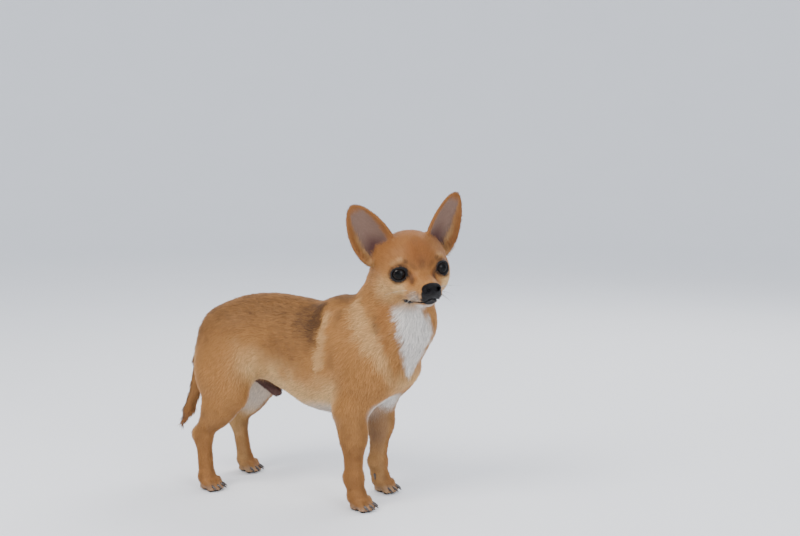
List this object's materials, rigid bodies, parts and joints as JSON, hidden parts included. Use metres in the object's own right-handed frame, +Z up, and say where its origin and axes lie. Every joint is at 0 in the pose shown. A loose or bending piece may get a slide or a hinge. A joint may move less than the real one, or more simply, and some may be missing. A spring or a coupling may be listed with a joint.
{
  "type": "smooth-coated chihuahua dog",
  "caption": "Life-size still model of a standing smooth-coated chihuahua, head turned to its right, ears erect, tail hanging, for a display such as a museum's.",
  "frame": {"origin": "on the floor, below the middle of the whole dog's bounding box", "axes": "+X the way the body faces, +Y the dog's left side, +Z up"},
  "size_m": [0.364, 0.1236, 0.3459],
  "materials": {
    "coat_tan": "short, smooth, slightly glossy dog coat, tan with darker ticking and cream markings",
    "coat_cream": "short cream-white dog coat",
    "ear_skin": "thin ear skin, pink-grey inside and haired tan outside",
    "nose_leather": "moist, finely pebbled black nose leather",
    "eye": "wet, very dark brown eye",
    "claw": "dark horn claw",
    "dark_skin": "thinly haired dark skin"
  },
  "bodies": {
    "root": {"claw_fore_left_1": "claw", "claw_fore_left_2": "claw", "claw_fore_left_3": "claw", "claw_fore_left_4": "claw", "claw_fore_left_5": "claw", "claw_fore_right_1": "claw", "claw_fore_right_2": "claw", "claw_fore_right_3": "claw", "claw_fore_right_4": "claw", "claw_fore_right_5": "claw", "claw_hind_left_1": "claw", "claw_hind_left_2": "claw", "claw_hind_left_3": "claw", "claw_hind_left_4": "claw", "claw_hind_right_1": "claw", "claw_hind_right_2": "claw", "claw_hind_right_3": "claw", "claw_hind_right_4": "claw", "ear_left": "ear_skin", "ear_right": "ear_skin", "eye_left": "eye", "eye_right": "eye", "foreleg_left": "coat_tan", "foreleg_right": "coat_tan", "forepaw_left": "coat_tan", "forepaw_right": "coat_tan", "head": "coat_tan", "hindpaw_left": "coat_tan", "hindpaw_right": "coat_tan", "hock_left": "coat_tan", "hock_right": "coat_tan", "lower_jaw": "coat_cream", "neck": "coat_tan", "nose": "nose_leather", "sheath": "dark_skin", "tail": "coat_tan", "thigh_left": "coat_tan", "thigh_right": "coat_tan", "torso": "coat_tan"}
  },
  "joints": []
}
